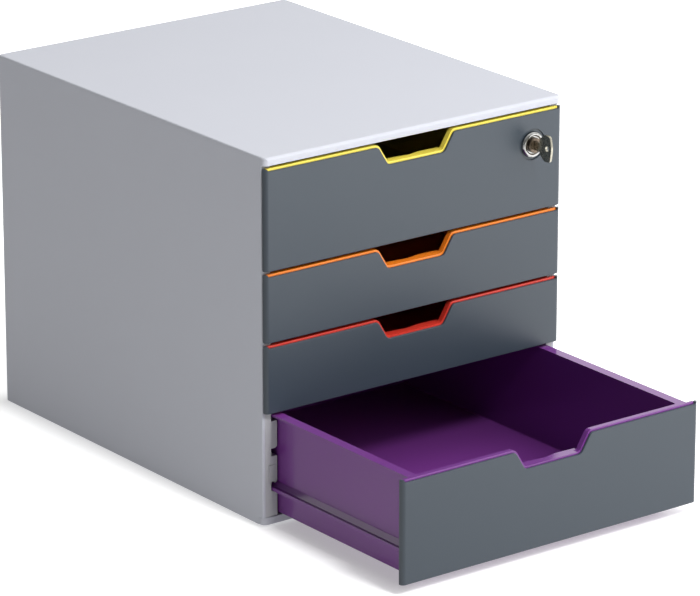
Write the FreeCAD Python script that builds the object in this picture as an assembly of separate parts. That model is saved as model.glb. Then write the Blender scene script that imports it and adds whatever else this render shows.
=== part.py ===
import FreeCAD, Part
import math
import os

# Desktop file drawer: a free-standing box with four drawers, the top one with a lock.
# Millimetres. X runs to the right, Y to the back, Z up. The bottom drawer stands part open,
# the others are closed. The origin is on the surface that the rubber feet stand on, below the
# middle of the whole box with its open drawer.

# Driving sizes of the whole box
WIDTH = 280.0
DEPTH = 356.0
HEIGHT = 289.5
DRAWER_SHARES = (3, 2, 2, 3)
DRAWER_OPENINGS = (0.0, 0.0, 0.0, 164.5)
FRONT_GAP = 2.6
FOOT_PROUD = 2.0
BASE_LIP_HEIGHT = 6.1
LOW_GAP = 0.4
TOP_GAP = 0.5
TOP_DROP = 1.9
TOP_LIP_HEIGHT = 6.1

# Clearances that several pieces share
OVERRUN = 5.0
SAME = 0.002
SEAT_GAP = 0.1
SLIDE_GAP = 0.8
TURN_GAP = 0.08

# Casing shell
WALL = 2.5
TOP_THICK = 2.6
WALL_SETBACK = 5.2
TOP_LIP_SETBACK = 0.8
TOP_LIP_CORNER_R = 4.0
TOP_LIP_DEPTH = 9.0
CASING_BACK_R = 3.5
CASING_EDGE_R = 1.4
CASING_BROW_R = 2.5
WALL_FRONT_R = 1.0
TOP_RIB_COUNT = 3
TOP_RIB_THICK = 1.6
TOP_RIB_DROP = 2.2

# Base plate
BASE_THICK = 2.6
BASE_LIP_SETBACK = 4.4
BASE_LIP_DEPTH = 6.0
BASE_LIP_CORNER_R = 4.6
BASE_LIP_EDGE_R = 0.8
BASE_RIB_COUNT = 5
BASE_RIB_THICK = 1.8
BASE_RIB_HEIGHT = 2.4

# Rear panel
REAR_THICK = 2.5
REAR_INSET = 1.0
REAR_FRAME_WIDTH = 7.0
REAR_FRAME_DEPTH = 3.0
REAR_CORNER_R = 2.0

# Rubber feet and the screws that hold the base plate
FOOT_R = 7.0
FOOT_SUNK = 1.2
FOOT_EDGE_R = 0.6
FOOT_INSET_X = 26.0
FOOT_INSET_Y = 30.0
SCREW_R = 1.6
SCREW_LENGTH = 11.0
SCREW_HEAD_R = 3.1
SCREW_HEAD_HEIGHT = 1.4
SCREW_RECESS_R = 4.0
SCREW_RECESS = 1.5
SCREW_BITE_GAP = 0.05
SCREW_SLOT = 0.8

# Slotted guide walls
GUIDE_THICK = 11.5
GUIDE_SKIN = 1.9
GUIDE_SOLID_FRONT = 24.0
GUIDE_WEB = 2.0
GUIDE_BAYS = 4
GUIDE_FRONT_R = 1.2
SLOT_DEPTH = 6.2
SLOT_HEIGHT = 6.2
SLOT_UNDER_RIM = 5.5
RIB_LOW_ROUND = 3.4
RIB_HIGH_ROUND = 1.2

# Catches in the guide walls that stop an open drawer
CATCH_WIDTH = 5.2
CATCH_HEIGHT = 13.0
CATCH_LENGTH = 7.0
CATCH_LEDGE_GAP = 1.6
CATCH_GAP = 0.25
CATCH_SIDE = 0.5
CATCH_PROUD = 0.3
NOSE_LENGTH = 3.0
NOSE_SLOPE = 1.0

# Trays
TRAY_WALL = 2.0
TRAY_FLOOR = 2.1
TRAY_BACK_ROOM = 12.0
TRAY_LIFT = 1.0
TRAY_FRONT_THICK = 1.8
TRAY_CORNER_R = 4.0
TRAY_FLOOR_R = 1.2
RIM_THICK = 1.6
RIM_REACH = 6.7
RIM_EDGE_R = 0.5
RUNNER_THICK = 3.0
RUNNER_FLAT = 2.6
RUNNER_RISE = 3.2
RUNNER_RUN_GAP = 0.15
FRONT_POCKET_COUNT = 6
FRONT_POCKET_WEB = 2.0
FRONT_POCKET_DEPTH = 2.4
NIB_LENGTH = 5.0
NIB_HEIGHT = 2.4
TRAVEL = 250.0
STOP_GAP = 0.4

# Finger notch, shared by a tray and its front cover
NOTCH_TOP_HALF = 35.6
NOTCH_LOW_HALF = 26.4
NOTCH_DROP = 14.9
NOTCH_MARGIN = 4.0
COVER_NOTCH_LOW_R = 5.0
COVER_NOTCH_TOP_R = 4.0
TRAY_NOTCH_INSET = 0.7
TRAY_NOTCH_LOW_R = 3.5
TRAY_NOTCH_TOP_R = 5.0
FINGER_LIP_THICK = 2.0
FINGER_LIP_REACH = 4.0
FINGER_LIP_SHARES = ((-1.04, 0.92), (-0.70, 0.87), (-0.35, 0.64), (-0.08, 0.46), (0.12, 0.70),
                     (0.32, 0.96), (0.62, 1.0), (1.04, 0.95))

# Front covers, whose face stops a stripe below the tray's rim
STRIPE = 1.6
STRIPE_END_R = 1.4
COVER_FACE = 1.7
COVER_DEPTH = 3.9
COVER_SIDE = 2.4
COVER_LOW_EDGE = 1.8
COVER_CORNER_R = 3.4
COVER_EDGE_R = 0.6

# Lock of the top drawer
LOCK_FROM_SIDE = 28.7
LOCK_FROM_TOP = 25.6
LOCK_DISH_R = 12.4
LOCK_DISH_DEPTH = 1.0
BEZEL_R = 10.2
BEZEL_PROUD = 2.2
BEZEL_ROUND = 1.9
BEZEL_FACE_R = 7.9
BEZEL_DISH = 0.9
HOUSING_R = 8.0
HOUSING_FLAT = 7.0
HOUSING_REACH = 16.2
PLUG_R = 5.9
PLUG_PROUD = 1.6
PLUG_EDGE_R = 0.5
TAIL_SIDE = 6.0
KEYWAY_WIDTH = 2.4
CLIP_THICK = 1.2
CLIP_ARM = 2.6
CLIP_BITE = 0.5
CLIP_HEAD = 3.0

# Wafers inside the plug
WAFER_COUNT = 5
WAFER_THICK = 1.0
WAFER_PITCH = 2.3
WAFER_FIRST = 3.0
WAFER_WIDTH = 5.4
WAFER_HEIGHT = 9.8

# Cam, its screw and the strike that it locks behind
CAM_THICK = 2.0
CAM_HUB_R = 6.4
CAM_WIDTH = 8.0
CAM_REACH = 20.0
CAM_SCREW_R = 1.9
CAM_SCREW_LENGTH = 5.0
CAM_SCREW_HEAD_R = 4.4
CAM_SCREW_HEAD = 1.8
CAM_SLOT_GAP = 0.9
STRIKE_LENGTH = 7.4
STRIKE_CHAMFER = 1.0

# Key
KEY_THICK = 2.0
BLADE_HEIGHT = 6.8
BLADE_REACH = 13.4
BLADE_GAP = 0.2
BITTING_SHARES = (0.10, 0.30, 0.16, 0.34, 0.20)
BOW_STAND = 9.8
BOW_HEIGHT = 21.4
BOW_LENGTH = 14.1
BOW_RISE = 0.8
BOW_SHARES = ((0.0, 0.56), (0.39, 1.0), (0.865, 0.953), (1.0, 0.0))
BOW_RADII = (1.5, 4.5, 2.5, 14.0)
BOW_HOLE_R = 2.1
BOW_HOLE_INSET = 5.2
BOW_EDGE_R = 0.35

# Heights and places that follow from the sizes above
FRONT = (max(DRAWER_OPENINGS) - DEPTH) / 2
BACK = FRONT + DEPTH
HALF = WIDTH / 2
BASE_LIP_TOP = FOOT_PROUD + BASE_LIP_HEIGHT
FRONTS_LOW = BASE_LIP_TOP + LOW_GAP
LIP_LOW = HEIGHT - TOP_LIP_HEIGHT
GRID_TOP = LIP_LOW - TOP_GAP
MODULE = (GRID_TOP + FRONT_GAP - FRONTS_LOW) / sum(DRAWER_SHARES)
INNER_HALF = HALF - WALL
CEILING = HEIGHT - TOP_THICK
FLOOR_TOP = FOOT_PROUD + BASE_THICK
GUIDE_OUTER = INNER_HALF - SEAT_GAP
GUIDE_INNER = GUIDE_OUTER - GUIDE_THICK
SLOT_WALL = GUIDE_INNER + SLOT_DEPTH
GUIDE_FRONT = FRONT + WALL_SETBACK
REAR_FACE = BACK - REAR_INSET
GUIDE_BACK = REAR_FACE - REAR_THICK - SEAT_GAP
TRAY_HALF = GUIDE_INNER - SLIDE_GAP
TRAY_INNER_HALF = TRAY_HALF - TRAY_WALL
RUN_HALF = SLOT_WALL - SLIDE_GAP
TRAY_FRONT = FRONT + WALL_SETBACK - SLIDE_GAP
FLANGE_FRONT = FRONT + COVER_FACE + SEAT_GAP
TRAY_INNER_FRONT = TRAY_FRONT + TRAY_FRONT_THICK
TRAY_BACK = GUIDE_BACK - TRAY_BACK_ROOM
LOCK_X = HALF - LOCK_FROM_SIDE
LOCK_Z = GRID_TOP - TOP_DROP - LOCK_FROM_TOP
PLUG_FACE = FRONT - BEZEL_PROUD - PLUG_PROUD
HOUSING_BACK = FRONT + HOUSING_REACH
CAM_FRONT = HOUSING_BACK + SEAT_GAP
CAM_BACK = CAM_FRONT + CAM_THICK
CATCH_BACK = GUIDE_FRONT + CATCH_LENGTH


def vec(x, y, z):
    return FreeCAD.Vector(x, y, z)


def block(x0, x1, y0, y1, z0, z1):
    """A box between two corners."""
    return Part.makeBox(x1 - x0, y1 - y0, z1 - z0, vec(x0, y0, z0))


def rod(radius, y0, y1, x, z):
    """A round bar along Y."""
    return Part.makeCylinder(radius, y1 - y0, vec(x, y0, z), vec(0, 1, 0))


def mirrored(shape):
    """The same shape on the other side of the box's middle plane."""
    return shape.mirror(vec(0, 0, 0), vec(1, 0, 0))


def rounded_wire(points, radii):
    """A closed wire through the points, each corner an arc of its radius, or sharp at zero."""
    edges = []
    ends = []
    count = len(points)
    for i in range(count):
        corner = points[i]
        if radii[i] == 0:
            ends.append((corner, corner))
            continue
        before = (points[i - 1] - corner).normalize()
        after = (points[(i + 1) % count] - corner).normalize()
        half = before.getAngle(after) / 2
        reach = radii[i] / math.tan(half)
        start = corner + before * reach
        end = corner + after * reach
        middle = (before + after).normalize()
        centre = corner + middle * (radii[i] / math.sin(half))
        edges.append(Part.Arc(start, centre - middle * radii[i], end).toShape())
        ends.append((start, end))
    for i in range(count):
        start = ends[i][1]
        end = ends[(i + 1) % count][0]
        if start.distanceToPoint(end) > SAME:
            edges.append(Part.makeLine(start, end))
    return Part.Wire(Part.__sortEdges__(edges))


def prism(points, radii, along):
    """A solid swept straight along a vector from a rounded outline."""
    return Part.Face(rounded_wire(points, radii)).extrude(along)


def edges_where(shape, test):
    """The edges of a shape whose middle point and direction pass a test."""
    found = []
    for edge in shape.Edges:
        middle = edge.valueAt((edge.FirstParameter + edge.LastParameter) / 2)
        ends = edge.Vertexes
        if len(ends) == 2 and test(middle, ends[1].Point - ends[0].Point):
            found.append(edge)
    return found


def near(a, b):
    return abs(a - b) < SAME


def upright(run):
    return near(run.x, 0) and near(run.y, 0) and not near(run.z, 0)


def rim_top(index):
    """The top of a drawer's rim, counted from the top drawer, which stands a little lower."""
    drop = TOP_DROP if index == 0 else 0
    return GRID_TOP - sum(DRAWER_SHARES[:index]) * MODULE - drop


def cover_low(index):
    return GRID_TOP - sum(DRAWER_SHARES[:index + 1]) * MODULE + FRONT_GAP


def slot_low(step):
    """The floor of a guide slot, counted in modules down from the top drawer's rim."""
    return GRID_TOP - SLOT_UNDER_RIM - step * MODULE


def runner_step(index):
    """The slot that a drawer's runner rides in: the last one above its floor."""
    return sum(DRAWER_SHARES[:index + 1]) - 1


# Casing

def casing_shell():
    """Top and both sides in one moulding, open at the front, the back and below."""
    shell = block(-HALF, HALF, FRONT + TOP_LIP_SETBACK, BACK, FOOT_PROUD, HEIGHT)
    shell = shell.makeFillet(CASING_BACK_R, edges_where(
        shell, lambda m, run: upright(run) and near(m.y, BACK)))
    shell = shell.makeFillet(TOP_LIP_CORNER_R, edges_where(
        shell, lambda m, run: upright(run) and near(m.y, FRONT + TOP_LIP_SETBACK)))
    shell = shell.makeFillet(CASING_EDGE_R, edges_where(shell, lambda m, run: near(m.z, HEIGHT)))
    shell = shell.cut(brow_cutter())
    hollow = block(-INNER_HALF, INNER_HALF, FRONT + TOP_LIP_DEPTH, BACK + OVERRUN,
                   FOOT_PROUD - OVERRUN, CEILING)
    mouth = block(-HALF - OVERRUN, HALF + OVERRUN, FRONT - OVERRUN, FRONT + WALL_SETBACK,
                  FOOT_PROUD - OVERRUN, LIP_LOW)
    lip_underside = block(-INNER_HALF, INNER_HALF, FRONT - OVERRUN, FRONT + TOP_LIP_DEPTH + OVERRUN,
                          FOOT_PROUD - OVERRUN, LIP_LOW)
    shell = shell.cut(hollow.fuse([mouth, lip_underside]))
    shell = shell.makeFillet(WALL_FRONT_R, edges_where(
        shell, lambda m, run: upright(run) and near(m.y, FRONT + WALL_SETBACK) and near(abs(m.x), HALF)))
    toe = block(-HALF - OVERRUN, HALF + OVERRUN, FRONT - OVERRUN,
                FRONT + BASE_LIP_SETBACK + BASE_LIP_DEPTH + SEAT_GAP,
                FOOT_PROUD - OVERRUN, BASE_LIP_TOP + SEAT_GAP)
    shell = shell.cut(toe)
    pitch = 2 * INNER_HALF / (TOP_RIB_COUNT + 1)
    ribs = []
    for i in range(TOP_RIB_COUNT):
        x = -INNER_HALF + (i + 1) * pitch
        ribs.append(block(x - TOP_RIB_THICK / 2, x + TOP_RIB_THICK / 2,
                          FRONT + TOP_LIP_DEPTH, GUIDE_BACK, CEILING - TOP_RIB_DROP, CEILING))
    return shell.fuse(ribs).removeSplitter()


def brow_cutter():
    """What the larger rounding takes off along the casing's top front edge."""
    start = FRONT + TOP_LIP_SETBACK
    low = HEIGHT - CASING_BROW_R
    corner = block(-HALF - OVERRUN, HALF + OVERRUN, start - OVERRUN, start + CASING_BROW_R,
                   low, HEIGHT + OVERRUN)
    return corner.cut(Part.makeCylinder(CASING_BROW_R, 2 * (HALF + OVERRUN),
                                        vec(-HALF - OVERRUN, start + CASING_BROW_R, low), vec(1, 0, 0)))


def screw_places():
    """The middles of the base screws: under each guide wall, near its front and its back."""
    x = GUIDE_INNER + GUIDE_THICK / 2
    front = GUIDE_FRONT + GUIDE_SOLID_FRONT / 2
    back = GUIDE_BACK - GUIDE_SOLID_FRONT / 2
    return [(side * x, y) for side in (-1, 1) for y in (front, back)]


def foot_places():
    x = HALF - FOOT_INSET_X
    return [(side * x, end) for side in (-1, 1)
            for end in (FRONT + FOOT_INSET_Y, BACK - FOOT_INSET_Y)]


def base_plate():
    """The floor of the box: a ribbed plate with a rounded lip across the front."""
    plate = block(-GUIDE_OUTER, GUIDE_OUTER, FRONT + BASE_LIP_SETBACK + BASE_LIP_DEPTH / 2,
                  GUIDE_BACK, FOOT_PROUD, FLOOR_TOP)
    lip_front = FRONT + BASE_LIP_SETBACK
    lip_back = lip_front + BASE_LIP_DEPTH
    outline = [vec(-HALF, lip_back, FOOT_PROUD), vec(-HALF, lip_front, FOOT_PROUD),
               vec(HALF, lip_front, FOOT_PROUD), vec(HALF, lip_back, FOOT_PROUD)]
    lip = prism(outline, (0, BASE_LIP_CORNER_R, BASE_LIP_CORNER_R, 0), vec(0, 0, BASE_LIP_HEIGHT))
    lip = lip.makeFillet(BASE_LIP_EDGE_R, edges_where(
        lip, lambda m, run: not upright(run) and m.y < lip_back - SEAT_GAP))
    behind = block(-GUIDE_OUTER, GUIDE_OUTER, lip_front + WALL, lip_back + OVERRUN,
                   FLOOR_TOP, BASE_LIP_TOP + OVERRUN)
    plate = plate.fuse(lip.cut(behind))
    span = 2 * (GUIDE_INNER - SLIDE_GAP) - BASE_RIB_THICK
    pitch = span / (BASE_RIB_COUNT - 1)
    ribs = []
    for i in range(BASE_RIB_COUNT):
        x = -span / 2 + i * pitch
        ribs.append(block(x - BASE_RIB_THICK / 2, x + BASE_RIB_THICK / 2,
                          lip_front + WALL / 2, GUIDE_BACK, FLOOR_TOP, FLOOR_TOP + BASE_RIB_HEIGHT))
    plate = plate.fuse(ribs)
    holes = []
    for x, y in foot_places():
        holes.append(Part.makeCylinder(FOOT_R + SEAT_GAP, FOOT_SUNK + OVERRUN,
                                       vec(x, y, FOOT_PROUD - OVERRUN)))
    for x, y in screw_places():
        holes.append(Part.makeCylinder(SCREW_R + SEAT_GAP, 2 * OVERRUN, vec(x, y, FOOT_PROUD - OVERRUN)))
        holes.append(Part.makeCylinder(SCREW_RECESS_R, SCREW_RECESS + OVERRUN,
                                       vec(x, y, FOOT_PROUD - OVERRUN)))
    return plate.cut(holes).removeSplitter()


def rear_panel():
    """The back of the box: a plate between the walls, with a stiffening frame inside."""
    low = FLOOR_TOP - BASE_THICK
    panel = block(-GUIDE_OUTER, GUIDE_OUTER, REAR_FACE - REAR_THICK, REAR_FACE, low, CEILING - SEAT_GAP)
    panel = panel.makeFillet(REAR_CORNER_R / 2, edges_where(
        panel, lambda m, run: near(m.y, REAR_FACE)))
    half = GUIDE_INNER - SLIDE_GAP
    frame_low = FLOOR_TOP + BASE_RIB_HEIGHT + SLIDE_GAP
    frame_top = CEILING - TOP_RIB_DROP - SLIDE_GAP
    frame = block(-half, half, REAR_FACE - REAR_THICK - REAR_FRAME_DEPTH, REAR_FACE - REAR_THICK,
                  frame_low, frame_top)
    inside = block(-half + REAR_FRAME_WIDTH, half - REAR_FRAME_WIDTH,
                   REAR_FACE - REAR_THICK - REAR_FRAME_DEPTH - OVERRUN, REAR_FACE - REAR_THICK,
                   frame_low + REAR_FRAME_WIDTH, frame_top - REAR_FRAME_WIDTH)
    return panel.fuse(frame.cut(inside)).removeSplitter()


def rubber_feet():
    feet = []
    for x, y in foot_places():
        foot = Part.makeCylinder(FOOT_R, FOOT_PROUD + FOOT_SUNK - SEAT_GAP, vec(x, y, 0))
        foot = foot.makeFillet(FOOT_EDGE_R, [e for e in foot.Edges if near(e.BoundBox.ZMax, 0)])
        feet.append(foot)
    return Part.makeCompound(feet)


def base_screws():
    """Pan-head screws from below, through the plate into the guide walls."""
    screws = []
    for x, y in screw_places():
        seat = FOOT_PROUD + SCREW_RECESS
        head = Part.makeCylinder(SCREW_HEAD_R, SCREW_HEAD_HEIGHT, vec(x, y, seat - SCREW_HEAD_HEIGHT))
        low_rim = [e for e in head.Edges if near(e.BoundBox.ZMax, seat - SCREW_HEAD_HEIGHT)]
        head = head.makeFillet(SCREW_HEAD_HEIGHT / 2, low_rim)
        shank = Part.makeCylinder(SCREW_R, SCREW_LENGTH, vec(x, y, seat - SCREW_HEAD_HEIGHT / 2))
        screw = head.fuse(shank)
        for turn in (0, 1):
            slot = block(-SCREW_HEAD_R / 2, SCREW_HEAD_R / 2, -SCREW_SLOT / 2, SCREW_SLOT / 2,
                         -OVERRUN, SCREW_HEAD_HEIGHT / 2)
            slot.rotate(vec(0, 0, 0), vec(0, 0, 1), turn * 90)
            slot.translate(vec(x, y, seat - SCREW_HEAD_HEIGHT))
            screw = screw.cut(slot)
        screws.append(screw)
    return Part.makeCompound(screws)


def catch_box(index, grow):
    """The space of a drawer's catch in the right-hand guide wall, made larger by grow."""
    low = slot_low(runner_step(index)) + SLOT_HEIGHT + CATCH_LEDGE_GAP
    inner = SLOT_WALL - CATCH_WIDTH / 2 - CATCH_SIDE
    return block(inner - grow, inner + CATCH_WIDTH + grow, GUIDE_FRONT - CATCH_PROUD,
                 CATCH_BACK + grow, low - grow, low + CATCH_HEIGHT + grow)


def guide_comb():
    """The guide wall's section across the box: a comb with one rounded rib between two slots."""
    low = FLOOR_TOP + SEAT_GAP
    high = CEILING - SEAT_GAP
    points = [vec(GUIDE_OUTER, GUIDE_FRONT, low), vec(GUIDE_INNER, GUIDE_FRONT, low)]
    radii = [0, RIB_HIGH_ROUND]
    for step in reversed(range(sum(DRAWER_SHARES))):
        floor = slot_low(step)
        roof = floor + SLOT_HEIGHT
        points += [vec(GUIDE_INNER, GUIDE_FRONT, floor), vec(SLOT_WALL, GUIDE_FRONT, floor),
                   vec(SLOT_WALL, GUIDE_FRONT, roof)]
        radii += [RIB_HIGH_ROUND, 0, 0]
        if roof + RIB_LOW_ROUND < high:
            points.append(vec(GUIDE_INNER, GUIDE_FRONT, roof))
            radii.append(RIB_LOW_ROUND)
        else:
            points += [vec(SLOT_WALL, GUIDE_FRONT, high)]
            radii.append(0)
    if points[-1].z < high:
        points.append(vec(GUIDE_INNER, GUIDE_FRONT, high))
        radii.append(0)
    points.append(vec(GUIDE_OUTER, GUIDE_FRONT, high))
    radii.append(0)
    return prism(points, radii, vec(0, GUIDE_BACK - GUIDE_FRONT, 0))


def guide_wall():
    """The right-hand guide wall, before the lock's cut-outs: a slotted comb, hollow behind."""
    guide = guide_comb()
    centre = vec(GUIDE_INNER + GUIDE_FRONT_R, GUIDE_FRONT + GUIDE_FRONT_R, 0)
    corner = block(GUIDE_INNER - OVERRUN, centre.x, GUIDE_FRONT - OVERRUN, centre.y, 0, HEIGHT)
    guide = guide.cut(corner.cut(Part.makeCylinder(GUIDE_FRONT_R, HEIGHT, centre)))
    cuts = []
    start = GUIDE_FRONT + GUIDE_SOLID_FRONT
    end = GUIDE_BACK - GUIDE_SOLID_FRONT
    bay = (end - start + GUIDE_WEB) / GUIDE_BAYS
    tops = [slot_low(step) for step in reversed(range(sum(DRAWER_SHARES)))]
    roofs = [FLOOR_TOP] + [low + SLOT_HEIGHT for low in tops[:-1]]
    for roof, floor in zip(roofs, tops):
        for i in range(GUIDE_BAYS):
            y = start + i * bay
            cuts.append(block(GUIDE_INNER + GUIDE_SKIN, GUIDE_OUTER + OVERRUN, y, y + bay - GUIDE_WEB,
                              roof + RIB_LOW_ROUND + GUIDE_SKIN / 2, floor - GUIDE_SKIN))
    for index in range(len(DRAWER_SHARES)):
        cuts.append(catch_box(index, CATCH_GAP))
        low = slot_low(runner_step(index)) + SLOT_HEIGHT
        inner = SLOT_WALL - CATCH_WIDTH / 2 - CATCH_SIDE
        cuts.append(block(inner - CATCH_GAP, SLOT_WALL, GUIDE_FRONT - CATCH_PROUD, CATCH_BACK + CATCH_GAP,
                          low - SEAT_GAP, low + CATCH_LEDGE_GAP))
    for x, y in screw_places():
        if x > 0:
            cuts.append(Part.makeCylinder(SCREW_R + SCREW_BITE_GAP, SCREW_LENGTH + OVERRUN,
                                          vec(x, y, FLOOR_TOP - OVERRUN)))
    cuts.append(block(GUIDE_INNER - OVERRUN, HALF, GUIDE_FRONT - OVERRUN,
                      FRONT + TOP_LIP_DEPTH + SEAT_GAP, LIP_LOW - SEAT_GAP, HEIGHT))
    cuts.append(block(GUIDE_INNER - OVERRUN, HALF, GUIDE_FRONT - OVERRUN,
                      FRONT + BASE_LIP_SETBACK + WALL + SEAT_GAP, FOOT_PROUD, BASE_LIP_TOP + SEAT_GAP))
    return guide.cut(cuts)


def guide_left():
    return mirrored(guide_wall()).removeSplitter()


def cam_sweep_low():
    """How far below the lock's middle the turning cam still crosses the guide wall's face."""
    across = GUIDE_INNER - SLIDE_GAP - TRAY_WALL - LOCK_X
    reach = CAM_REACH + CAM_SLOT_GAP
    return math.sqrt(max(reach * reach - across * across, 0)) + CAM_SLOT_GAP


def cam_window(inner, outer):
    """The opening that the cam turns through, between two places across the box."""
    return block(inner, outer, CAM_FRONT - CAM_SLOT_GAP, CAM_BACK + CAM_SLOT_GAP,
                 LOCK_Z - cam_sweep_low(), LOCK_Z + CAM_WIDTH / 2 + CAM_SLOT_GAP)


def guide_right():
    """As the left one, with a window for the cam and room for the strike."""
    window = cam_window(GUIDE_INNER - OVERRUN, LOCK_X + CAM_REACH + CAM_SLOT_GAP)
    return guide_wall().cut(window).removeSplitter()


def strike_slot():
    """The guide slot that lies level with the lock."""
    steps = range(sum(DRAWER_SHARES))
    return min(steps, key=lambda step: abs(slot_low(step) + SLOT_HEIGHT / 2 - LOCK_Z))


def lock_strike():
    """A steel block that fills the slot ahead of the cam, so that the turned cam holds the drawer."""
    low = slot_low(strike_slot()) + SEAT_GAP
    end = CAM_FRONT - CAM_SLOT_GAP - SEAT_GAP
    start = end - STRIKE_LENGTH + SEAT_GAP
    inner = GUIDE_INNER + SLIDE_GAP
    outline = [vec(inner, end, low), vec(SLOT_WALL - SEAT_GAP, end, low),
               vec(SLOT_WALL - SEAT_GAP, start, low),
               vec(inner + STRIKE_CHAMFER * 2, start, low)]
    return prism(outline, (0, 0, 0, STRIKE_CHAMFER / 2), vec(0, 0, SLOT_HEIGHT - 2 * SEAT_GAP))


def drawer_catches():
    """Two catches a drawer, one in each guide wall, with a nose that hangs into the runner's slot."""
    catches = []
    for index in range(len(DRAWER_SHARES)):
        catch = catch_box(index, 0)
        roof = slot_low(runner_step(index)) + SLOT_HEIGHT
        tip = slot_low(runner_step(index)) + RUNNER_RUN_GAP + RUNNER_THICK + SLIDE_GAP
        inner = SLOT_WALL - CATCH_WIDTH / 2 - CATCH_SIDE
        outline = [vec(inner, CATCH_BACK, roof + CATCH_LEDGE_GAP), vec(inner, CATCH_BACK, tip),
                   vec(inner, CATCH_BACK - NOSE_LENGTH, tip),
                   vec(inner, CATCH_BACK - NOSE_LENGTH - NOSE_SLOPE, roof + CATCH_LEDGE_GAP)]
        nose = prism(outline, (0, 0, 0, 0), vec(SLOT_WALL - SEAT_GAP - inner, 0, 0))
        catch = catch.fuse(nose).removeSplitter()
        catches += [catch, mirrored(catch)]
    return Part.makeCompound(catches)


# Drawers

def notch_cutter(edge, inset, top_r, low_r, end, end_r):
    """The finger notch's space below an edge, and all that is above the edge up to its two ends."""
    y = FRONT - OVERRUN
    top_half = NOTCH_TOP_HALF - inset
    low_half = NOTCH_LOW_HALF - inset
    low = edge - NOTCH_DROP
    points = [vec(-end, y, edge), vec(-top_half, y, edge), vec(-low_half, y, low), vec(low_half, y, low),
              vec(top_half, y, edge), vec(end, y, edge), vec(end, y, edge + NOTCH_MARGIN),
              vec(-end, y, edge + NOTCH_MARGIN)]
    radii = (end_r, top_r, low_r, low_r, top_r, end_r, 0, 0)
    return prism(points, radii, vec(0, TRAY_INNER_FRONT - FRONT + 2 * OVERRUN, 0))


def front_block(low, high):
    """A block as wide and deep as a front cover, with its upright front edges rounded."""
    shape = block(-HALF, HALF, FRONT, FRONT + COVER_DEPTH, low, high)
    return shape.makeFillet(COVER_CORNER_R, edges_where(
        shape, lambda m, run: upright(run) and near(m.y, FRONT)))


def finger_lip(top):
    """The lip behind the notch that the fingers pull on, with its waved rear edge."""
    low = top - NOTCH_DROP - FINGER_LIP_THICK
    base = TRAY_INNER_FRONT
    wave = [vec(x * NOTCH_LOW_HALF, base + y * FINGER_LIP_REACH, low) for x, y in FINGER_LIP_SHARES]
    curve = Part.BSplineCurve()
    curve.interpolate(wave)
    start = vec(wave[0].x, base - TRAY_WALL / 2, low)
    end = vec(wave[-1].x, base - TRAY_WALL / 2, low)
    wire = Part.Wire([curve.toShape(), Part.makeLine(wave[-1], end), Part.makeLine(end, start),
                      Part.makeLine(start, wave[0])])
    return Part.Face(wire).extrude(vec(0, 0, FINGER_LIP_THICK))


def tray_shell(top, low):
    """The tray itself: a thin box with a rim turned outwards along the sides and the back."""
    body = block(-TRAY_HALF, TRAY_HALF, TRAY_FRONT, TRAY_BACK, low, top)
    body = body.makeFillet(TRAY_CORNER_R, edges_where(
        body, lambda m, run: upright(run) and near(m.y, TRAY_BACK)))
    body = body.makeFillet(TRAY_FLOOR_R, edges_where(
        body, lambda m, run: near(m.z, low) and m.y > TRAY_FRONT + SEAT_GAP))
    outline = [vec(-RUN_HALF, TRAY_FRONT, top - RIM_THICK),
               vec(RUN_HALF, TRAY_FRONT, top - RIM_THICK),
               vec(RUN_HALF, TRAY_BACK + RIM_REACH, top - RIM_THICK),
               vec(-RUN_HALF, TRAY_BACK + RIM_REACH, top - RIM_THICK)]
    rim = prism(outline, (0, 0, TRAY_CORNER_R * 2, TRAY_CORNER_R * 2), vec(0, 0, RIM_THICK))
    shell = body.fuse(rim)
    cavity = block(-TRAY_INNER_HALF, TRAY_INNER_HALF, TRAY_INNER_FRONT, TRAY_BACK - TRAY_WALL,
                   low + TRAY_FLOOR, top + OVERRUN)
    cavity = cavity.makeFillet(TRAY_CORNER_R - TRAY_WALL, edges_where(
        cavity, lambda m, run: upright(run)))
    cavity = cavity.makeFillet(TRAY_FLOOR_R, edges_where(
        cavity, lambda m, run: near(m.z, low + TRAY_FLOOR)))
    return shell.cut(cavity)


def runner(index):
    """The right-hand runner along the tray's side, with a sloped top and the stop's nib."""
    floor = slot_low(runner_step(index)) + RUNNER_RUN_GAP
    high = floor + RUNNER_THICK
    inside = TRAY_HALF - TRAY_WALL / 2
    outline = [vec(inside, TRAY_FRONT, floor), vec(RUN_HALF, TRAY_FRONT, floor),
               vec(RUN_HALF, TRAY_FRONT, high), vec(RUN_HALF - RUNNER_FLAT, TRAY_FRONT, high),
               vec(TRAY_HALF, TRAY_FRONT, high + RUNNER_RISE),
               vec(inside, TRAY_FRONT, high + RUNNER_RISE)]
    bar = prism(outline, (0, RIM_EDGE_R, RIM_EDGE_R, 0, 0, 0), vec(0, TRAY_BACK - TRAY_FRONT - TRAY_CORNER_R, 0))
    nib_front = CATCH_BACK + TRAVEL + STOP_GAP
    half_nib = NIB_LENGTH / 2
    side = [vec(RUN_HALF - RUNNER_FLAT, nib_front, high - RUNNER_THICK / 2),
            vec(RUN_HALF - RUNNER_FLAT, nib_front, high + NIB_HEIGHT),
            vec(RUN_HALF - RUNNER_FLAT, nib_front + half_nib, high + NIB_HEIGHT),
            vec(RUN_HALF - RUNNER_FLAT, nib_front + NIB_LENGTH, high - RUNNER_THICK / 2)]
    nib = prism(side, (0, 0, 0, 0), vec(RUNNER_FLAT - RIM_EDGE_R, 0, 0))
    return bar.fuse(nib)


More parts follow.
